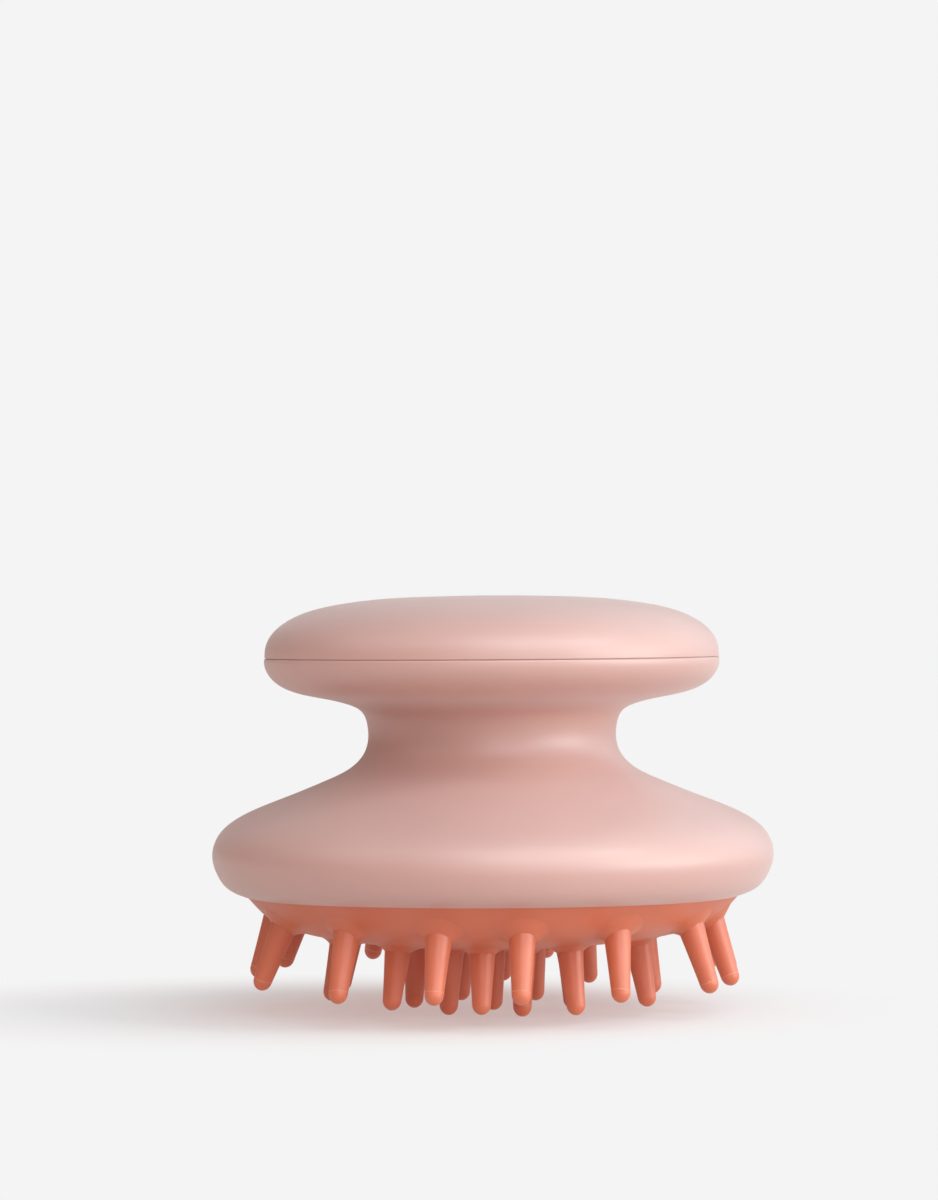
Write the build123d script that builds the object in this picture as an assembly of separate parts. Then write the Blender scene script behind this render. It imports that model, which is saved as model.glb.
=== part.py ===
from build123d import *
import math
import os

# Hand-held scalp massager: grip knob, waist, wide skirt and a soft bristle pad.
# Millimetres, +Z up. Origin: on the axis, at the level of the lowest bristle tip.
# Front is -Y. The skirt's lower edge is lowest at +X and -X and arches up a
# little at the front and the back.

# ---- overall
TOP_Z = 59.2              # top of the cap
SEAM_Z = 50.35            # where the cap meets the knob
SEAM_GAP = 0.12           # fine open line all round the seam
CAP_R = 32.42             # cap radius at the seam
KNOB_R = 32.5             # knob radius just under the seam
WAIST_R = 17.7            # narrowest point, held between the fingers
SKIRT_R = 40.0            # widest point of the skirt
SKIRT_Z = 22.3
LIP_R = 35.2              # lower edge of the skirt
LIP_Z = 16.7
LIP_ARCH = 0.6            # rise of the lower edge at the front and the back
LIP_W = 0.35              # flat under the lower edge
RIM_DROP = 0.35           # rounding of the knob's rim at the seam

# ---- shells
WALL = 2.4                # cap and knob wall
BORE_R = 30.2             # opening of the knob under the cap
BORE_FLOOR_Z = 48.4
SPIGOT_R = 30.1           # cap's locating ring, in the bore
SPIGOT_WALL = 2.0
SPIGOT_CLEAR = 0.3        # under the spigot
SEAL_H = 1.1              # sealing ring on the spigot
SEAL_W = 0.95
SEAL_CUT = 0.25           # chamfer on the seal's outer corners
SEAL_LOW = SEAM_Z - 0.35 - SEAL_H
DECK_Z = 37.6             # underside of the screw deck across the waist
DECK_T = 2.4
NECK_R = 15.3             # clear radius inside the waist

# ---- pad and its carrier
PAD_CENTRE_Z = 9.5        # bottom of the pad skin on the axis
PAD_T = 2.2               # pad skin
PAD_WALL_R = 36.7         # buried edge of the pad
SEAT_RISE = 1.6           # height of the cone the pad's edge rests on
PAD_TOP_Z = 23.5
HOOK_T = 1.9              # inward hook that grips the carrier
HOOK_R = 30.5
CARRIER_R = 34.0
CARRIER_T = 2.0
CARRIER_LOW = 19.3        # where the carrier's wall meets its dish
BOSS_R = 3.7
BOSS_CIRCLE_R = 9.0
BOSS_COUNT = 3
BOSS_FOOT_Z = 13.2        # buried in the dish
PILOT_R = 1.5
PILOT_DEPTH = 10.0

# ---- screws, 3 mm self-tapping
SCREW_R = 1.48
SCREW_LEN = 9.5
HEAD_R = 2.8
HEAD_H = 2.0
HOLE_R = 1.75

# ---- bristles
TIP_R = 1.3               # rounded tip
STEM_R = 1.9              # stem just under the flare
FLARE_R = 2.7             # low shoulder where the stem runs out on the pad
FLARE_H = 0.8
ROOT_SINK = 3.0           # trimmed off against the pad

# rings: root radius, root height, tip radius
OUTER_RING = (31.5, 13.3, 34.6)
MIDDLE_RING = (22.3, 10.65, 23.95)
INNER_RING = (10.9, 9.72, 11.4)

# each bristle: root angle and tip angle from the front, + toward +X, then tip height
OUTER_BRISTLES = (
    (-10, -10, 4.1), (10.6, 9.6, 4.2), (-35.7, -34.5, 3.75), (35.8, 33.4, 4.0),
    (-64.5, -68, 4.1), (63.7, 64.5, 3.9), (80.5, 80.5, 4.1), (-95, -95, 4.3),
    (102, 102, 4.5), (-113, -113, 4.85), (115.5, 115.5, 4.7), (-144.5, -144.5, 4.75),
    (147, 147, 4.7), (-170, -170, 4.6), (170, 170, 4.4),
)
MIDDLE_BRISTLES = (
    (-0.5, -0.5, 1.8), (-32.5, -32.8, 2.0), (31.5, 32, 1.4), (-68, -70.5, 2.1), (68, 68.5, 1.4),
    (-109, -109, 1.9), (108, 108, 1.7), (-147.5, -147.5, 1.9), (147, 147, 1.95), (180, 180, 1.9),
)
INNER_BRISTLES = (
    (-29.5, -30.4, 0.3), (26, 24, 0.15), (-87, -87, 0.35), (85.5, 85.5, 0.25),
    (-152, -152, 0.35), (151, 151, 0.35),
)


BOTTOM = (Align.CENTER, Align.CENTER, Align.MIN)
UNIT = [1.0, 1.0]


def spun(*edges):
    """Solid turned about Z from edges that close up in the XZ plane."""
    face = make_face(Plane.XZ * Curve(edges))
    return revolve(face, Axis.Z, 360)


def path(*points):
    return Polyline(*points).edges()


def one(part):
    """The part as a single solid, checked."""
    solids = part.solids()
    if len(solids) != 1:
        raise ValueError("expected one solid, found %d" % len(solids))
    return solids[0]


# ---- grip ----------------------------------------------------------------

def grip_cap():
    top = (0, TOP_Z)
    edge = (CAP_R, SEAM_Z + SEAM_GAP)
    outer = Spline(
        top, (9.6, 59.05), (16.5, 58.69), (21.9, 58.0), (26.2, 57.0),
        (29.4, 55.53), (31.5, 53.65), (32.3, 51.9), edge,
        tangents=[(1, 0), (-0.02, -1)], tangent_scalars=UNIT,
    )
    spigot_in = SPIGOT_R - SPIGOT_WALL
    spigot_low = BORE_FLOOR_Z + SPIGOT_CLEAR
    seat_r = CAP_R - 1.0
    groove_r = BORE_R - SEAL_W
    inner = path(
        edge, (seat_r, SEAM_Z + SEAM_GAP), (seat_r, SEAM_Z), (SPIGOT_R, SEAM_Z),
        (SPIGOT_R, SEAL_LOW + SEAL_H), (groove_r, SEAL_LOW + SEAL_H), (groove_r, SEAL_LOW),
        (SPIGOT_R, SEAL_LOW), (SPIGOT_R, spigot_low), (spigot_in, spigot_low),
        (spigot_in, 52.4), (27.2, 53.9), (24.0, 55.1), (19.5, 55.9),
        (11.0, 56.6), (0, TOP_Z - WALL), top,
    )
    return one(spun(outer, *inner))


def cap_seal():
    """Sealing ring between the cap's spigot and the bore."""
    high = SEAL_LOW + SEAL_H
    inside = BORE_R - SEAL_W
    section = path(
        (inside, SEAL_LOW), (BORE_R - SEAL_CUT, SEAL_LOW), (BORE_R, SEAL_LOW + SEAL_CUT),
        (BORE_R, high - SEAL_CUT), (BORE_R - SEAL_CUT, high), (inside, high), (inside, SEAL_LOW),
    )
    return one(spun(*section))


def skirt_outline():
    """Outer line of the knob underside, waist and skirt, from the seam down."""
    return Spline(
        (KNOB_R, SEAM_Z - RIM_DROP), (32.2, 48.6), (31.1, 47.1), (28.45, 45.62),
        (24.4, 44.68), (20.9, 43.86), (18.45, 42.5), (WAIST_R + 0.08, 40.6),
        (WAIST_R + 0.03, 38.6), (18.25, 36.85), (20.2, 34.7), (23.65, 32.92),
        (28.05, 31.1), (32.6, 29.35), (36.35, 27.6), (39.05, 25.3),
        (SKIRT_R, SKIRT_Z), (39.42, 20.0), (37.9, 17.85), (LIP_R + LIP_W, LIP_Z),
        tangents=[(0.02, -1), (-1, -0.4)], tangent_scalars=UNIT,
    )


def arch_cutter():
    """Everything above the arched lower edge of the skirt."""
    reach = LIP_R + 2.0
    radius = reach * reach / (2 * LIP_ARCH)
    drum = Cylinder(radius, 200, rotation=(0, 90, 0))
    return Pos(0, 0, LIP_Z + radius) * drum


def body_shell():
    rim = (KNOB_R - RIM_DROP, SEAM_Z)
    turn = RIM_DROP * 0.29
    shoulder = ThreePointArc(
        rim, (KNOB_R - turn, SEAM_Z - turn), (KNOB_R, SEAM_Z - RIM_DROP),
    )
    inner = path(
        (LIP_R + LIP_W, LIP_Z), (LIP_R, LIP_Z), (PAD_WALL_R, LIP_Z + SEAT_RISE),
        (PAD_WALL_R, PAD_TOP_Z), (35.2, PAD_TOP_Z), (35.2, 24.6), (33.4, 26.2),
        (30.4, 27.6), (26.9, 28.9), (22.6, 30.6), (19.2, 32.4), (17.0, 34.4),
        (NECK_R, 37.0), (NECK_R, DECK_Z), (0, DECK_Z), (0, DECK_Z + DECK_T),
        (NECK_R, DECK_Z + DECK_T), (NECK_R, 42.6), (16.4, 44.6), (19.4, 46.1),
        (24.0, 47.1), (27.6, BORE_FLOOR_Z), (BORE_R, BORE_FLOOR_Z), (BORE_R, SEAM_Z), rim,
    )
    shell = spun(shoulder, skirt_outline(), *inner)
    shell = shell & arch_cutter()
    for spot in boss_spots():
        shell -= Pos(spot.X, spot.Y, DECK_Z - 1) * Cylinder(HOLE_R, DECK_T + 2, align=BOTTOM)
    return one(shell)


# ---- pad ------------------------------------------------------------------

def pad_skin_line():
    """Outer line of the pad, from the axis out to the buried wall."""
    return Spline(
        (0, PAD_CENTRE_Z), (8.0, 9.58), (16.0, 10.0), (24.0, 10.95),
        (29.0, 12.1), (32.1, 13.6), (LIP_R, LIP_Z),
        tangents=[(1, 0), (PAD_WALL_R - LIP_R, SEAT_RISE)], tangent_scalars=UNIT,
    )


def pad_inner_line():
    return Spline(
        (0, PAD_CENTRE_Z + PAD_T), (8.0, 11.78), (16.0, 12.22), (23.8, 13.15),
        (28.2, 14.25), (31.2, 15.85), (CARRIER_R, CARRIER_LOW),
        tangents=[(1, 0), (0.62, 0.78)], tangent_scalars=UNIT,
    )


def brush_pad():
    wall = path(
        (LIP_R, LIP_Z), (PAD_WALL_R, LIP_Z + SEAT_RISE), (PAD_WALL_R, PAD_TOP_Z),
        (HOOK_R, PAD_TOP_Z), (HOOK_R, PAD_TOP_Z - HOOK_T), (CARRIER_R, PAD_TOP_Z - HOOK_T),
        (CARRIER_R, CARRIER_LOW),
    )
    axis = Line((0, PAD_CENTRE_Z + PAD_T), (0, PAD_CENTRE_Z))
    return one(spun(pad_skin_line(), *wall, pad_inner_line(), axis))


def boss_spots():
    spots = []
    for i in range(BOSS_COUNT):
        a = math.radians(90 + 360 * i / BOSS_COUNT)
        spots.append(Vector(BOSS_CIRCLE_R * math.cos(a), BOSS_CIRCLE_R * math.sin(a), 0))
    return spots


def pad_carrier():
    top = PAD_TOP_Z - HOOK_T
    inner = path(
        (CARRIER_R, CARRIER_LOW), (CARRIER_R, top), (CARRIER_R - CARRIER_T, top),
        (CARRIER_R - CARRIER_T, CARRIER_LOW + 0.7), (29.6, 17.3), (26.6, 16.0), (22.0, 15.0),
        (12.0, 14.15), (0, 13.9), (0, PAD_CENTRE_Z + PAD_T),
    )
    dish = spun(pad_inner_line(), *inner)
    for spot in boss_spots():
        boss = Pos(spot.X, spot.Y, BOSS_FOOT_Z) * Cylinder(BOSS_R, DECK_Z - BOSS_FOOT_Z, align=BOTTOM)
        pilot = Pos(spot.X, spot.Y, DECK_Z - PILOT_DEPTH)
        dish = dish + boss - pilot * Cylinder(PILOT_R, PILOT_DEPTH + 1, align=BOTTOM)
    return one(dish)


def carrier_screw():
    head = Cylinder(HEAD_R, HEAD_H, align=BOTTOM)
    head = fillet(head.edges().sort_by(Axis.Z)[-1], 0.7)
    slot = Box(0.8, 3.4, 1.0, align=BOTTOM) + Box(3.4, 0.8, 1.0, align=BOTTOM)
    shank = Pos(0, 0, -SCREW_LEN) * Cylinder(SCREW_R, SCREW_LEN, align=BOTTOM)
    shank = chamfer(shank.edges().sort_by(Axis.Z)[0], 1.0)
    return head + shank - Pos(0, 0, HEAD_H - 0.9) * slot


def carrier_screws():
    made = []
    for spot in boss_spots():
        made += (Pos(spot.X, spot.Y, DECK_Z + DECK_T) * carrier_screw()).solids()
    return Compound(children=made)


# ---- bristles -------------------------------------------------------------

def bristle(length):
    """One bristle standing up its own +Z: tip at the origin, root above it."""
    reach = length + ROOT_SINK
    flare_z = length - FLARE_H
    tip = ThreePointArc((0, 0), (TIP_R * 0.7071, TIP_R * 0.2929), (TIP_R, TIP_R))
    stem = Line((TIP_R, TIP_R), (STEM_R, flare_z))
    root = path(
        (STEM_R, flare_z), (FLARE_R, length + 0.5), (FLARE_R, reach), (0, reach), (0, 0),
    )
    return one(spun(tip, stem, *root))


def at_angle(radius, angle, height):
    """Point at an angle from the front."""
    a = math.radians(angle - 90)
    return Vector(radius * math.cos(a), radius * math.sin(a), height)


def planted(ring_of, bristle_of):
    """A bristle of that ring, standing between its own root and tip."""
    root_r, root_z, tip_r = ring_of
    root_angle, tip_angle, tip_z = bristle_of
    tip = at_angle(tip_r, tip_angle, tip_z)
    up = at_angle(root_r, root_angle, root_z) - tip
    return Plane(origin=tip, z_dir=up) * bristle(up.length)


def bristle_ring(ring_of, bristles):
    pad = pad_block()
    made = [one(planted(ring_of, each) - pad) for each in bristles]
    return Compound(children=made)


def pad_block():
    """Solid filling everything on the inner side of the pad's outer skin."""
    lid = path((LIP_R, LIP_Z), (PAD_WALL_R, 40), (0, 40), (0, PAD_CENTRE_Z))
    return spun(pad_skin_line(), *lid)


def bristle_centre():
    return one(bristle(PAD_CENTRE_Z) - pad_block())


def build():
    return {
        "grip_cap": grip_cap(),
        "cap_seal": cap_seal(),
        "body_shell": body_shell(),
        "carrier_screws": carrier_screws(),
        "pad_carrier": pad_carrier(),
        "brush_pad": brush_pad(),
        "bristles_outer_ring": bristle_ring(OUTER_RING, OUTER_BRISTLES),
        "bristles_middle_ring": bristle_ring(MIDDLE_RING, MIDDLE_BRISTLES),
        "bristles_inner_ring": bristle_ring(INNER_RING, INNER_BRISTLES),
        "bristle_centre": bristle_centre(),
    }


os.makedirs("parts", exist_ok=True)
for name, shape in build().items():
    export_step(shape, "parts/%s.step" % name)
    box = shape.bounding_box()
    print(name, round(shape.volume, 1), box.min, box.max, shape.is_valid)
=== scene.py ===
import bpy
import math
import numpy as np
from mathutils import Matrix, Vector


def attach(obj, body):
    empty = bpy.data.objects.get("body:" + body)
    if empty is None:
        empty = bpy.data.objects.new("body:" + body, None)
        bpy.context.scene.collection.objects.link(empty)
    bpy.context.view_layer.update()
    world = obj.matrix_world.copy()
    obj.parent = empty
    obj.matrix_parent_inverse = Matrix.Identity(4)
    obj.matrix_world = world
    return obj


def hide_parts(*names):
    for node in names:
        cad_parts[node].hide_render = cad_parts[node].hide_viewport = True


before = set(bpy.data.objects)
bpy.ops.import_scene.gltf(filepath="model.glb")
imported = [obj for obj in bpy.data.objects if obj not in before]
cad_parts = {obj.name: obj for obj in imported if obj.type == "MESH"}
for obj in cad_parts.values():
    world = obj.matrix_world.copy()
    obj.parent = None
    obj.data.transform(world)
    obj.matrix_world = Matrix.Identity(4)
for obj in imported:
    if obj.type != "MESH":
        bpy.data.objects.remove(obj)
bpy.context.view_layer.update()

# Scalp massager brush. Outlines and sizes are in mm and become metres where a mesh
# is made; +Z is up and the front is -Y. The cap, the body, the pad and the bristles
# are rebuilt here; the seal, the carrier and the screws come from the frame.

MM = 0.001
ON_AXIS = 1e-6            # a smaller radius than this is a point on the axis
AROUND = 288              # steps around a turned piece

# ---------------------------------------------------------------- sizes, mm
TOP_Z = 59.2
SEAM_Z = 50.35            # top of the knob's rim
CAP_FOOT_Z = 50.41        # underside of the cap's edge; the gap to the rim is the seam
CAP_R, CAP_SEAT_R = 32.42, 32.15
CAP_WALL = 2.4
KNOB_R = 32.5
BORE_R, BORE_FLOOR_Z = 30.2, 48.4
SPIGOT_R, SPIGOT_IN_R, SPIGOT_LOW_Z = 30.1, 28.1, 48.7
NECK_R = 15.3             # clear radius inside the waist
SKIRT_R = 40.0
LIP_R, LIP_Z = 35.2, 16.7 # where the skirt's lower edge meets the pad
LIP_ARCH = 0.6            # rise of that edge at the front and the back
ARCH_TOP_Z, ARCH_FADE = 21.5, 5.5
NICK_Z, NICK_DEPTH = 21.4, 0.11     # the parting mark, one at each side of the skirt
NICK_HEIGHT, NICK_ANGLE = 0.33, 0.025
PAD_CENTRE_Z, PAD_T = 9.5, 2.2
PAD_WALL_R, PAD_TOP_Z = 36.7, 23.5
SEAT_RUN, SEAT_RISE = PAD_WALL_R - LIP_R, 1.6   # the cone that the pad's edge rests on
HOOK_R, HOOK_T = 30.5, 1.9
CARRIER_R, CARRIER_LOW_Z = 34.0, 19.3

CAP_LINE = [(0, TOP_Z), (9.6, 59.05), (16.5, 58.69), (21.9, 58.0), (26.2, 57.0),
            (29.4, 55.53), (31.5, 53.65), (32.3, 51.9), (CAP_R, 50.53)]
BODY_LINE = [(KNOB_R, 50.0), (32.2, 48.6), (31.1, 47.1), (28.45, 45.62), (24.4, 44.68),
             (20.9, 43.86), (18.45, 42.5), (17.78, 40.6), (17.73, 38.6), (18.25, 36.85),
             (20.2, 34.7), (23.65, 32.92), (28.05, 31.1), (32.6, 29.35), (36.35, 27.6),
             (39.05, 25.3), (SKIRT_R, 22.3), (39.42, 20.0), (37.9, 17.85), (35.6, 16.75)]
PAD_LINE = [(0, PAD_CENTRE_Z), (8.0, 9.58), (16.0, 10.0), (24.0, 10.95), (29.0, 12.1),
            (32.1, 13.6), (LIP_R, LIP_Z)]

# rings: root radius, root height, tip radius; then each bristle's root angle and
# tip angle from the front, + toward +X, and the height of its tip
OUTER = ((31.5, 13.3, 34.6), (
    (-10, -10, 4.1), (10.6, 9.6, 4.2), (-35.7, -34.5, 3.75), (35.8, 33.4, 4.0),
    (-64.5, -68, 4.1), (63.7, 64.5, 3.9), (80.5, 80.5, 4.1), (-95, -95, 4.3),
    (102, 102, 4.5), (-113, -113, 4.85), (115.5, 115.5, 4.7), (-144.5, -144.5, 4.75),
    (147, 147, 4.7), (-170, -170, 4.6), (170, 170, 4.4)))
MIDDLE = ((22.3, 10.65, 23.95), (
    (-0.5, -0.5, 1.8), (-32.5, -32.8, 2.0), (31.5, 32, 1.4), (-68, -70.5, 2.1), (68, 68.5, 1.4),
    (-109, -109, 1.9), (108, 108, 1.7), (-147.5, -147.5, 1.9), (147, 147, 1.95), (180, 180, 1.9)))
INNER = ((10.9, 9.72, 11.4), (
    (-29.5, -30.4, 0.3), (26, 24, 0.15), (-87, -87, 0.35), (85.5, 85.5, 0.25),
    (-152, -152, 0.35), (151, 151, 0.35)))
CENTRE = ((0, PAD_CENTRE_Z, 0), ((0, 0, 0),))

TIP_R, STEM_R = 1.3, 1.9
TIP_LEN = 1.42            # the tip is a little longer than round
FLASH_S = 1.62            # the moulding's flash line, this far from the tip
FLASH_H = 0.04            # how far the flash stands out at its strongest
FLARE = 0.75              # the stem curves out onto the pad over this length
FLARE_REACH = 1.25        # and runs out on the pad over this much more
FOOT_SEARCH = 5.0         # a stem's foot is sought this far up and down from its root
BRISTLE_SIDES = 40


# ---------------------------------------------------------------- mesh tools
def smooth_line(points, start, end, step):
    """Cubic spline through the points, leaving along start and arriving along end."""
    points = np.array(points, float)
    along = np.concatenate([[0], np.cumsum(np.hypot(*np.diff(points, axis=0).T))])
    gap = np.diff(along)
    count = len(points)
    system = np.zeros((count, count))
    known = np.zeros((count, 2))
    system[0, 0] = system[-1, -1] = 1
    known[0] = np.array(start) / np.hypot(*start)
    known[-1] = np.array(end) / np.hypot(*end)
    for i in range(1, count - 1):
        system[i, i - 1:i + 2] = gap[i], 2 * (gap[i - 1] + gap[i]), gap[i - 1]
        before = (points[i] - points[i - 1]) / gap[i - 1]
        after = (points[i + 1] - points[i]) / gap[i]
        known[i] = 3 * (before * gap[i] + after * gap[i - 1])
    tangent = np.linalg.solve(system, known)
    where = np.linspace(0, along[-1], max(8, int(along[-1] / step)))
    k = np.clip(np.searchsorted(along, where, side="right") - 1, 0, count - 2)
    u = ((where - along[k]) / gap[k])[:, None]
    reach = gap[k][:, None]
    out = (2 * u**3 - 3 * u**2 + 1) * points[k] + (u**3 - 2 * u**2 + u) * reach * tangent[k]
    out += (-2 * u**3 + 3 * u**2) * points[k + 1] + (u**3 - u**2) * reach * tangent[k + 1]
    out[:, 0] = np.maximum(out[:, 0], 0)
    return [tuple(q) for q in out]


def bend(start, knee, end, steps):
    """Points on the curve from start to end that is pulled toward the knee."""
    shares = [i / steps for i in range(steps + 1)]
    return [(1 - u)**2 * start + 2 * u * (1 - u) * knee + u**2 * end for u in shares]


def corner(before, at, after, radius, steps=5):
    """Rounded corner at a point between two others, as a short run of points."""
    before, at, after = (np.array(v, float) for v in (before, at, after))
    back = (before - at) / np.linalg.norm(before - at)
    ahead = (after - at) / np.linalg.norm(after - at)
    return [tuple(q) for q in bend(at + back * radius, at, at + ahead * radius, steps)]


def make(name, verts, faces, node, sharp=40):
    """Mesh object that rides on root and stands in for the frame's node."""
    mesh = bpy.data.meshes.new(name)
    mesh.from_pydata([tuple(v) for v in verts], [], faces)
    mesh.validate()
    mesh.update()
    mesh.shade_smooth()
    mesh.set_sharp_from_angle(angle=math.radians(sharp))
    obj = bpy.data.objects.new(name, mesh)
    bpy.context.scene.collection.objects.link(obj)
    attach(obj, "root")
    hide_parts(node)
    return obj


def turned(name, line, node, shape=None):
    """Closed solid turned about Z from a closed (radius, height) line in mm."""
    verts, rows = [], []
    for r, z in line:
        if r < ON_AXIS:
            rows.append([len(verts)])
            verts.append((0, 0, z * MM))
            continue
        row = []
        for j in range(AROUND):
            a = 2 * math.pi * j / AROUND
            out, up = shape(r, z, a) if shape else (r, z)
            row.append(len(verts))
            verts.append((out * math.cos(a) * MM, out * math.sin(a) * MM, up * MM))
        rows.append(row)
    faces = []
    for low, high in zip(rows, rows[1:] + rows[:1]):
        if len(low) == 1 and len(high) == 1:
            continue
        for j in range(AROUND):
            k = (j + 1) % AROUND
            if len(low) == 1:
                faces.append((low[0], high[j], high[k]))
            elif len(high) == 1:
                faces.append((low[j], high[0], low[k]))
            else:
                faces.append((low[j], high[j], high[k], low[k]))
    return make(name, verts, faces, node)


# ---------------------------------------------------------------- cap
def build_cap():
    outer = smooth_line(CAP_LINE, (1, 0), (0, -1), 0.35)
    foot = corner(outer[-1], (CAP_R, CAP_FOOT_Z), (CAP_R - 0.22, CAP_FOOT_Z), 0.11)
    inner = [(CAP_SEAT_R, CAP_FOOT_Z), (CAP_SEAT_R, SEAM_Z), (SPIGOT_R, SEAM_Z),
             (SPIGOT_R, SPIGOT_LOW_Z), (SPIGOT_IN_R, SPIGOT_LOW_Z), (SPIGOT_IN_R, 52.4),
             (27.2, 53.9), (24.0, 55.1), (19.5, 55.9), (11.0, 56.6), (0, TOP_Z - CAP_WALL)]
    return turned("cap_dome", outer + foot + inner, "grip_cap")


# ---------------------------------------------------------------- body
def lip_shape(r, z, a):
    """Arches the lower edge up at the front and the back, and nicks the sides faintly."""
    rise = LIP_ARCH * math.sin(a)**2
    share = min(1.0, max(0.0, (ARCH_TOP_Z - z) / ARCH_FADE))
    share = share * share * (3 - 2 * share)
    out = rise * share * SEAT_RUN / SEAT_RISE
    if r > SKIRT_R - 1:
        side = math.remainder(a, math.pi)
        across = math.exp(-(side / NICK_ANGLE)**2)
        out -= NICK_DEPTH * across * math.exp(-((z - NICK_Z) / NICK_HEIGHT)**2)
    return r + out, z + rise * share


def build_body():
    bore_edge = (BORE_R, SEAM_Z)
    rim = corner(bore_edge, (KNOB_R - 0.02, SEAM_Z), (KNOB_R, SEAM_Z - 0.75), 0.3, 6)
    outer = smooth_line(BODY_LINE, (0.02, -1), (-1, -0.35), 0.32)
    lip = corner(outer[-1], (LIP_R + 0.16, LIP_Z - 0.02), (LIP_R, LIP_Z + 0.3), 0.2)
    inner = [(PAD_WALL_R, LIP_Z + SEAT_RISE), (PAD_WALL_R, PAD_TOP_Z), (LIP_R, PAD_TOP_Z),
             (LIP_R, 24.6), (33.4, 26.2), (30.4, 27.6), (26.9, 28.9), (22.6, 30.6), (19.2, 32.4),
             (17.0, 34.4), (NECK_R, 37.0), (NECK_R, 42.6), (16.4, 44.6), (19.4, 46.1),
             (24.0, 47.1), (27.6, BORE_FLOOR_Z), (BORE_R, BORE_FLOOR_Z)]
    line = [bore_edge] + rim + outer[1:] + lip + inner
    return turned("shell_body", line, "body_shell", lip_shape)


# ---------------------------------------------------------------- pad
PAD_SKIN = np.array(smooth_line(PAD_LINE, (1, 0), (SEAT_RUN, SEAT_RISE), 0.15))


def skin_z(r):
    """Height of the pad's outer skin at a radius."""
    inside = np.interp(r, PAD_SKIN[:, 0], PAD_SKIN[:, 1])
    return float(inside + max(0.0, r - LIP_R) * SEAT_RISE / SEAT_RUN)


def skin_normal(point):
    """Unit normal of the pad's outer skin over a point, facing down and out."""
    r = math.hypot(point[0], point[1])
    if r < ON_AXIS:
        return np.array((0, 0, -1.0))
    near = 0.1
    slope = (skin_z(r + near) - skin_z(max(r - near, 0))) / (near + min(r, near))
    normal = np.array((slope * point[0] / r, slope * point[1] / r, -1.0))
    return normal / np.linalg.norm(normal)


def build_pad():
    skin = [tuple(q) for q in PAD_SKIN[::2]] + [(LIP_R, LIP_Z)]
    hook_z = PAD_TOP_Z - HOOK_T
    inner = [(PAD_WALL_R, LIP_Z + SEAT_RISE), (PAD_WALL_R, PAD_TOP_Z), (HOOK_R, PAD_TOP_Z),
             (HOOK_R, hook_z), (CARRIER_R, hook_z), (CARRIER_R, CARRIER_LOW_Z), (31.2, 15.85),
             (28.2, 14.25), (23.8, 13.15), (16.0, 12.22), (8.0, 11.78),
             (0, PAD_CENTRE_Z + PAD_T)]
    return turned("pad_skin", skin + inner, "brush_pad")


# ---------------------------------------------------------------- bristles
def at_angle(radius, angle, height):
    """Point at an angle from the front, + toward +X."""
    a = math.radians(angle - 90)
    return np.array((radius * math.cos(a), radius * math.sin(a), height))


def stem_radius(s, length):
    """Radius of a bristle at a distance from its tip, without its flash."""
    if s < TIP_LEN:
        return TIP_R * math.sqrt(max(0.0, 1 - (1 - s / TIP_LEN)**2))
    t = (s - TIP_LEN) / (length - TIP_LEN)
    return TIP_R + (STEM_R - TIP_R) * (0.85 * t + 0.15 * t * t)


def flash(s, turn, seed):
    """Strength of the fine uneven line of flash round a bristle, where two moulds met; it raises the
    flash and also sets how strongly a highlight is painted along it.
    """
    wave = 0.09 * math.sin(turn + seed) + 0.04 * math.sin(3 * turn + 2.1 * seed)
    here = math.exp(-((s - FLASH_S - wave) / 0.06)**2)
    broken = 0.5 + 0.5 * math.sin(2 * turn + 1.7 * seed) * math.cos(turn - seed)
    return here * (0.35 + 0.65 * broken)


def stem_levels(stem_top):
    """Distances from the tip of the points up a stem, close together at tip and flash."""
    tip = [TIP_LEN * (1 - math.cos(math.pi / 2 * i / 10)) for i in range(1, 11)]
    line = [FLASH_S + 0.03 * i for i in range(-5, 6)]
    above = [1.85, 1.95, 2.2]
    run = stem_top - 0.1 - above[-1]
    return tip + line + above + [above[-1] + run * t for t in (0.08, 0.2, 0.36, 0.52, 0.68, 0.84, 1)]


def foot_distance(tip, axis, side, length):
    """Distance from the tip at which one side of the stem would meet the pad."""
    low, high = length - FOOT_SEARCH, length + FOOT_SEARCH
    for _ in range(30):
        middle = (low + high) / 2
        point = tip + axis * middle + side * STEM_R
        if point[2] > skin_z(math.hypot(point[0], point[1])):
            high = middle
        else:
            low = middle
    return (low + high) / 2


def flare_points(tip, axis, side, foot, radius):
    """Curve from the top of the stem out onto the pad, ending just inside its skin."""
    start = tip + axis * (foot - FLARE + 0.02) + side * (radius + 0.05)
    knee = tip + axis * (foot - 0.05) + side * (radius + FLARE)
    normal = skin_normal(knee)
    along = side - normal * np.dot(side, normal)
    along /= np.linalg.norm(along)
    end = tip + axis * foot + side * radius + along * (FLARE + FLARE_REACH)
    end[2] = skin_z(math.hypot(end[0], end[1])) + 0.02
    return bend(start, knee, end, 10) + [end + along * 0.1 - skin_normal(end) * 0.15]


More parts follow.
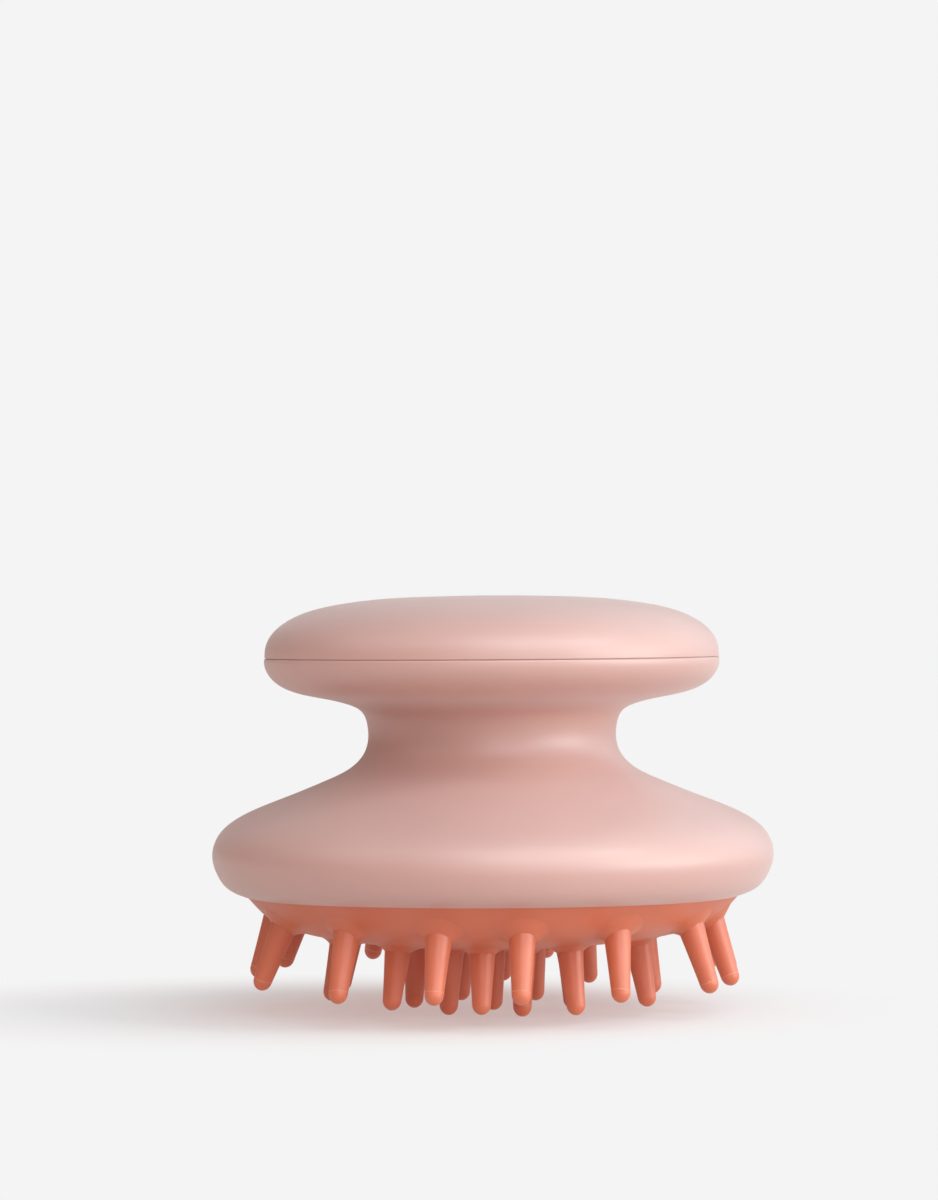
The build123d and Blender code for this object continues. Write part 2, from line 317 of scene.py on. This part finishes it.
def add_bristle(ring, stand, ledge, verts, faces, marks):
    """Adds one bristle's points, faces and flash marks; ledge scales its flash. The flash marks also
    mask a highlight painted along the flash.
    """
    root_r, root_z, tip_r = ring
    root_angle, tip_angle, tip_z = stand
    tip = at_angle(tip_r, tip_angle, tip_z)
    root = at_angle(root_r, root_angle, root_z)
    length = float(np.linalg.norm(root - tip))
    axis = (root - tip) / length
    across = np.cross(axis, np.array((0.3, 1.0, 0)))     # no bristle stands along this
    across /= np.linalg.norm(across)
    third = np.cross(axis, across)
    seed = math.radians(root_angle) * 2.7                # each one's flash is its own
    columns = []
    for j in range(BRISTLE_SIDES):
        turn = 2 * math.pi * j / BRISTLE_SIDES
        side = math.cos(turn) * across + math.sin(turn) * third
        foot = foot_distance(tip, axis, side, length)
        stem_top = foot - FLARE
        column = []
        for s in stem_levels(stem_top):
            mark = ledge * flash(s, turn, seed)
            radius = stem_radius(s, length) + FLASH_H * mark
            column.append((tip + axis * s + side * radius, mark))
        radius = stem_radius(stem_top, length)
        column.append((tip + axis * stem_top + side * radius, 0.0))
        column += [(point, 0.0) for point in flare_points(tip, axis, side, foot, radius)]
        columns.append(column)
    base = len(verts)
    verts.append(tip)
    marks.append(0.0)
    for row in zip(*columns):
        for point, mark in row:
            verts.append(point)
            marks.append(mark)
    for j in range(BRISTLE_SIDES):
        k = (j + 1) % BRISTLE_SIDES
        faces.append((base, base + 1 + k, base + 1 + j))
        for i in range(len(columns[0]) - 1):
            low = base + 1 + i * BRISTLE_SIDES
            high = low + BRISTLE_SIDES
            faces.append((low + j, low + k, high + k, high + j))


def build_bristles(name, spec, node, ledge):
    ring, stands = spec
    verts, faces, marks = [], [], []
    for stand in stands:
        add_bristle(ring, stand, ledge, verts, faces, marks)
    obj = make(name, [v * MM for v in verts], faces, node, 30)
    # the flash marks, kept on the points as the mask of the highlight painted along the flash
    layer = obj.data.attributes.new("flash_highlight", "FLOAT", "POINT")
    layer.data.foreach_set("value", np.array(marks, np.float32))
    return obj


# ---------------------------------------------------------------- shader tools
def material(name):
    m = bpy.data.materials.new(name)
    m.use_nodes = True
    return m, m.node_tree, m.node_tree.nodes["Principled BSDF"]


def set_inputs(node, **values):
    """Sets a node's inputs; an underscore in a name stands for a space."""
    for name, value in values.items():
        node.inputs[name.replace("_", " ")].default_value = value


def placed(tree, location=(0, 0, 0), scale=(1, 1, 1)):
    """The object's own coordinates, moved and scaled."""
    coords = tree.nodes.new("ShaderNodeTexCoord")
    place = tree.nodes.new("ShaderNodeMapping")
    set_inputs(place, Location=location, Scale=scale)
    tree.links.new(coords.outputs["Object"], place.inputs["Vector"])
    return place.outputs["Vector"]


def noise(tree, scale, detail=2.0, rough=0.5, stretch=(1, 1, 1)):
    """Noise fixed to the object, with its scale per metre."""
    node = tree.nodes.new("ShaderNodeTexNoise")
    set_inputs(node, Scale=scale, Detail=detail, Roughness=rough)
    tree.links.new(placed(tree, scale=stretch), node.inputs["Vector"])
    return node.outputs["Fac"]


def ramp(tree, fac, stops):
    """Colour along a run of (position, colour) stops."""
    node = tree.nodes.new("ShaderNodeValToRGB")
    marks = node.color_ramp.elements
    while len(marks) < len(stops):
        marks.new(0.5)
    for mark, (at, colour) in zip(marks, stops):
        mark.position = at
        mark.color = (*colour, 1)
    tree.links.new(fac, node.inputs["Fac"])
    return node.outputs["Color"]


def clouded(tree, fac, dark, light):
    """Two close colours, mixed by a noise that stays near its middle."""
    return ramp(tree, fac, [(0.3, dark), (0.7, light)])


def spread(tree, fac, low, high):
    """Value from low, where fac is 0, to high, where it is 1."""
    node = tree.nodes.new("ShaderNodeMapRange")
    set_inputs(node, To_Min=low, To_Max=high)
    tree.links.new(fac, node.inputs["Value"])
    return node.outputs["Result"]


def bump(tree, shader, height, strength, distance, below=None):
    """Relief on a shader's surface, laid over the relief below it if there is one."""
    node = tree.nodes.new("ShaderNodeBump")
    set_inputs(node, Strength=strength, Distance=distance)
    tree.links.new(height, node.inputs["Height"])
    if below is not None:
        tree.links.new(below, node.inputs["Normal"])
    tree.links.new(node.outputs["Normal"], shader.inputs["Normal"])
    return node.outputs["Normal"]


def mixed(tree, fac, first, second):
    """First shader where fac is 0, second where it is 1."""
    node = tree.nodes.new("ShaderNodeMixShader")
    for plug, socket in zip((fac, first, second), node.inputs):
        tree.links.new(plug, socket)
    return node.outputs["Shader"]


def seen_by_camera(tree):
    return tree.nodes.new("ShaderNodeLightPath").outputs["Is Camera Ray"]


# ---------------------------------------------------------------- materials
def soft_touch():
    m, tree, shader = material("soft_touch_pink")
    colour = clouded(tree, noise(tree, 38, 3, 0.55), (0.578, 0.326, 0.284), (0.608, 0.348, 0.304))
    tree.links.new(colour, shader.inputs["Base Color"])
    rough = spread(tree, noise(tree, 160, 4, 0.6), 0.39, 0.47)
    tree.links.new(rough, shader.inputs["Roughness"])
    set_inputs(shader, IOR=1.6, Specular_IOR_Level=0.8, Sheen_Weight=0.35, Sheen_Roughness=0.45,
               Sheen_Tint=(1.0, 0.97, 0.96, 1))
    grain = bump(tree, shader, noise(tree, 5200, 2, 0.6), 0.10, 0.00004)
    bump(tree, shader, noise(tree, 260, 2, 0.5), 0.10, 0.00012, grain)
    return m


def silicone():
    m, tree, shader = material("coral_silicone")
    colour = clouded(tree, noise(tree, 120, 3, 0.55), (0.625, 0.132, 0.053), (0.670, 0.152, 0.065))
    # a paler colour along the flash line: a painted highlight on the ridge of flash; the ridge
    # itself is real geometry
    line = tree.nodes.new("ShaderNodeAttribute")
    line.attribute_name = "flash_highlight"
    flash_highlight_mix = tree.nodes.new("ShaderNodeMix")
    flash_highlight_mix.data_type = "RGBA"
    tree.links.new(line.outputs["Fac"], flash_highlight_mix.inputs["Factor"])
    tree.links.new(colour, flash_highlight_mix.inputs["A"])
    flash_highlight_mix.inputs["B"].default_value = (0.80, 0.30, 0.20, 1)
    tree.links.new(flash_highlight_mix.outputs["Result"], shader.inputs["Base Color"])
    rough = spread(tree, noise(tree, 420, 3, 0.6), 0.40, 0.50)
    tree.links.new(rough, shader.inputs["Roughness"])
    set_inputs(shader, IOR=1.48, Specular_IOR_Level=1.0, Subsurface_Weight=0.25,
               Subsurface_Radius=(1.0, 0.25, 0.14), Subsurface_Scale=0.0016,
               Sheen_Weight=0.1, Sheen_Roughness=0.45, Sheen_Tint=(1.0, 0.9, 0.82, 1))
    grain = bump(tree, shader, noise(tree, 6500, 2, 0.6), 0.10, 0.00003)
    bump(tree, shader, noise(tree, 700, 2, 0.5), 0.08, 0.00006, grain)
    return m


def moulded(name, dark, light, rough):
    """Plain moulded plastic or rubber of a hidden piece."""
    m, tree, shader = material(name)
    tree.links.new(clouded(tree, noise(tree, 90, 3), dark, light), shader.inputs["Base Color"])
    patchy = spread(tree, noise(tree, 300, 3), rough - 0.06, rough + 0.08)
    tree.links.new(patchy, shader.inputs["Roughness"])
    bump(tree, shader, noise(tree, 1800, 2), 0.12, 0.00005)
    return m


def steel():
    m, tree, shader = material("zinc_steel")
    streaks = noise(tree, 900, 4, 0.6, (1, 1, 0.15))
    colour = clouded(tree, streaks, (0.52, 0.52, 0.54), (0.66, 0.66, 0.67))
    tree.links.new(colour, shader.inputs["Base Color"])
    tree.links.new(spread(tree, streaks, 0.24, 0.40), shader.inputs["Roughness"])
    set_inputs(shader, Metallic=1.0)
    bump(tree, shader, streaks, 0.1, 0.00003)
    return m


def dress(obj, mat):
    obj.data.materials.clear()
    obj.data.materials.append(mat)


def dress_cad(node, mat):
    """Material and smooth shading for a piece that comes from the frame."""
    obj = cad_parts[node]
    dress(obj, mat)
    obj.data.shade_smooth()
    obj.data.set_sharp_from_angle(angle=math.radians(35))


# ---------------------------------------------------------------- floor and room
PALE = 0.905              # the backdrop's grey
GLOW_NEAR = 0.42          # the part of the floor's brightness that no shadow takes away
GLOW_FROM, GLOW_TO = 0.035, 0.088   # between these radii that part grows to the whole
GLOW_SHIFT, GLOW_SCALE = (0.018, 0, 0), (1, 1.5, 1)   # the patch lies toward -X and is wide
ROOM_DIM = (0.21, 0.09, 0.04)
ROOM_SIDE, ROOM_TOP = (1.00, 1.32, 1.46), (0.14, 0.33, 0.41)   # added toward +X and overhead


def floor_disc():
    rings = [0.05, 0.1, 0.2, 0.4, 0.8, 2.0, 8.0]
    sides = 64
    verts, faces = [(0, 0, 0)], []
    for r in rings:
        for j in range(sides):
            a = 2 * math.pi * j / sides
            verts.append((r * math.cos(a), r * math.sin(a), 0))
    for j in range(sides):
        k = (j + 1) % sides
        faces.append((0, 1 + j, 1 + k))
        for i in range(len(rings) - 1):
            low = 1 + i * sides
            high = low + sides
            faces.append((low + j, high + j, high + k, low + k))
    mesh = bpy.data.meshes.new("floor")
    mesh.from_pydata(verts, [], faces)
    return mesh


def paper():
    """Pale floor that takes a shadow near the object and glows evenly away from it; near the object
    its glow is pink, which paints a pink cast into the shadow.
    """
    m, tree, shader = material("pale_paper")
    # the floor's own colour is cool, so that where it is lit it adds to the pink glow to make plain
    # grey; where shadow takes it away the painted pink is left
    set_inputs(shader, Base_Color=(0.770, 0.835, 0.830, 1), Roughness=0.9, Specular_IOR_Level=0.1)
    far = tree.nodes.new("ShaderNodeVectorMath")
    far.operation = "LENGTH"
    tree.links.new(placed(tree, GLOW_SHIFT, GLOW_SCALE), far.inputs[0])
    ease = tree.nodes.new("ShaderNodeMapRange")
    ease.interpolation_type = "SMOOTHSTEP"
    set_inputs(ease, From_Min=GLOW_FROM, From_Max=GLOW_TO)
    tree.links.new(far.outputs["Value"], ease.inputs["Value"])
    fade = ease.outputs["Result"]
    glow = tree.nodes.new("ShaderNodeEmission")
    # near the object the glow is pink: painted pink light in the floor's shadow, as if thrown back
    # from the coral silicone; away from it the glow is the plain grey
    tint = ramp(tree, fade, [(0.0, (0.98, 0.86, 0.845)), (1.0, (PALE, PALE, PALE))])
    tree.links.new(tint, glow.inputs["Color"])
    # the light that the floor throws back at the object, which the camera doesn't see
    bounce = tree.nodes.new("ShaderNodeEmission")
    set_inputs(bounce, Color=(0.74, 0.65, 0.62, 1))
    lit = mixed(tree, seen_by_camera(tree), bounce.outputs["Emission"], glow.outputs["Emission"])
    top = mixed(tree, spread(tree, fade, GLOW_NEAR, 1.0), shader.outputs["BSDF"], lit)
    # from below the floor is clear, so the underside of the brush can be looked at
    facing = tree.nodes.new("ShaderNodeNewGeometry")
    clear = tree.nodes.new("ShaderNodeBsdfTransparent")
    sided = mixed(tree, facing.outputs["Backfacing"], top, clear.outputs["BSDF"])
    tree.links.new(sided, tree.nodes["Material Output"].inputs["Surface"])
    return m


def build_floor():
    floor = bpy.data.objects.new("floor", floor_disc())
    bpy.context.scene.collection.objects.link(floor)
    floor.data.materials.append(paper())


def build_world():
    """A warm dim room, brighter and cooler toward +X and overhead; the camera sees plain grey."""
    world = bpy.data.worlds.new("studio")
    bpy.context.scene.world = world
    world.use_nodes = True
    tree = world.node_tree
    tree.nodes.clear()
    coords = tree.nodes.new("ShaderNodeTexCoord")
    split = tree.nodes.new("ShaderNodeSeparateXYZ")
    tree.links.new(coords.outputs["Generated"], split.inputs["Vector"])
    dim = tree.nodes.new("ShaderNodeCombineXYZ")
    set_inputs(dim, **dict(zip("XYZ", ROOM_DIM)))
    light = dim.outputs["Vector"]
    for side, colour in (("X", ROOM_SIDE), ("Z", ROOM_TOP)):
        toward = tree.nodes.new("ShaderNodeMath")
        toward.operation = "MAXIMUM"
        toward.inputs[1].default_value = 0
        tree.links.new(split.outputs[side], toward.inputs[0])
        added = tree.nodes.new("ShaderNodeVectorMath")
        added.operation = "MULTIPLY_ADD"
        added.inputs[1].default_value = colour
        tree.links.new(toward.outputs[0], added.inputs[0])
        tree.links.new(light, added.inputs[2])
        light = added.outputs["Vector"]
    room = tree.nodes.new("ShaderNodeBackground")
    tree.links.new(light, room.inputs["Color"])
    seen = tree.nodes.new("ShaderNodeBackground")
    set_inputs(seen, Color=(PALE, PALE, PALE, 1))
    both = mixed(tree, seen_by_camera(tree), room.outputs["Background"], seen.outputs["Background"])
    out = tree.nodes.new("ShaderNodeOutputWorld")
    tree.links.new(both, out.inputs["Surface"])


# ---------------------------------------------------------------- lights and camera, metres
LIGHT_DISTANCE = 0.9      # from the point that every light is aimed at
LIGHT_AIM = (0, 0, 0.03)
# name, azimuth from the front with + toward +X, elevation, width, height, power, tint
LIGHTS = [("key", 62, 40, 0.2, 0.2, 1.15, (0.92, 0.98, 1.0)),
          ("low_right", 55, 11, 0.26, 0.36, 1.1, (0.90, 1.0, 0.98)),
          ("low_side", 80, 6, 0.5, 0.3, 2.1, (0.94, 1.0, 0.96)),
          ("low_front", 8, 5, 0.6, 0.25, 0.6, (1.0, 0.93, 0.88)),
          ("front", 15, 40, 0.7, 0.7, 3.7, (0.90, 0.96, 1.0)),
          ("right", 115, 15, 0.7, 0.7, 0.45, (0.88, 0.96, 1.0)),
          ("back", 150, 40, 0.7, 0.7, 0.45, (0.80, 0.91, 1.0)),
          ("left", -60, 35, 0.7, 0.7, 1.1, (1.0, 0.925, 0.87))]

CAMERA_DISTANCE, CAMERA_HEIGHT = 0.543, 0.0567
CAMERA_AZIMUTH = 3.5      # degrees, from the front toward +X
CAMERA_PITCH, CAMERA_YAW, CAMERA_ROLL = 0.196, 0.336, -0.338   # degrees
SENSOR_WIDTH, FOCAL_LENGTH = 36, 114   # mm


def softbox(name, azimuth, elevation, width, height, power, tint):
    """Area light aimed at the object."""
    a, e = math.radians(azimuth), math.radians(elevation)
    aim = Vector(LIGHT_AIM)
    away = Vector((math.sin(a) * math.cos(e), -math.cos(a) * math.cos(e), math.sin(e)))
    lamp = bpy.data.lights.new(name, "AREA")
    lamp.shape = "RECTANGLE"
    lamp.size, lamp.size_y = width, height
    lamp.energy = power
    lamp.color = tint
    obj = bpy.data.objects.new(name, lamp)
    bpy.context.scene.collection.objects.link(obj)
    obj.location = away * LIGHT_DISTANCE + aim
    obj.rotation_euler = (aim - obj.location).to_track_quat("-Z", "Y").to_euler()


def build_camera():
    a = math.radians(CAMERA_AZIMUTH)
    camera = bpy.data.cameras.new("camera")
    camera.sensor_width = SENSOR_WIDTH
    camera.lens = FOCAL_LENGTH
    camera.clip_start = 0.01
    obj = bpy.data.objects.new("camera", camera)
    bpy.context.scene.collection.objects.link(obj)
    obj.location = (CAMERA_DISTANCE * math.sin(a), -CAMERA_DISTANCE * math.cos(a), CAMERA_HEIGHT)
    turn = Matrix.Rotation(a + math.radians(CAMERA_YAW), 3, "Z")
    tilt = Matrix.Rotation(math.radians(90 + CAMERA_PITCH), 3, "X")
    roll = Matrix.Rotation(math.radians(CAMERA_ROLL), 3, "Z")
    obj.rotation_euler = (turn @ tilt @ roll).to_euler()
    bpy.context.scene.camera = obj


# ---------------------------------------------------------------- assembly
pink = soft_touch()
coral = silicone()
dress(build_cap(), pink)
dress(build_body(), pink)
dress(build_pad(), coral)
# the last number scales each ring's flash ridge and the highlight painted along it
for name, spec, node, ledge in (
        ("bristle_ring_outer", OUTER, "bristles_outer_ring", 1.0),
        ("bristle_ring_middle", MIDDLE, "bristles_middle_ring", 0.12),
        ("bristle_ring_inner", INNER, "bristles_inner_ring", 0.08),
        ("bristle_middle_one", CENTRE, "bristle_centre", 0.08)):
    dress(build_bristles(name, spec, node, ledge), coral)
dress_cad("pad_carrier", moulded("carrier_plastic", (0.70, 0.66, 0.62), (0.76, 0.72, 0.68), 0.5))
dress_cad("cap_seal", moulded("seal_rubber", (0.012, 0.012, 0.012), (0.02, 0.02, 0.02), 0.6))
dress_cad("carrier_screws", steel())

build_floor()
build_world()
for light in LIGHTS:
    softbox(*light)
build_camera()
bpy.context.scene.view_settings.view_transform = "Standard"
bpy.context.scene.view_settings.look = "None"
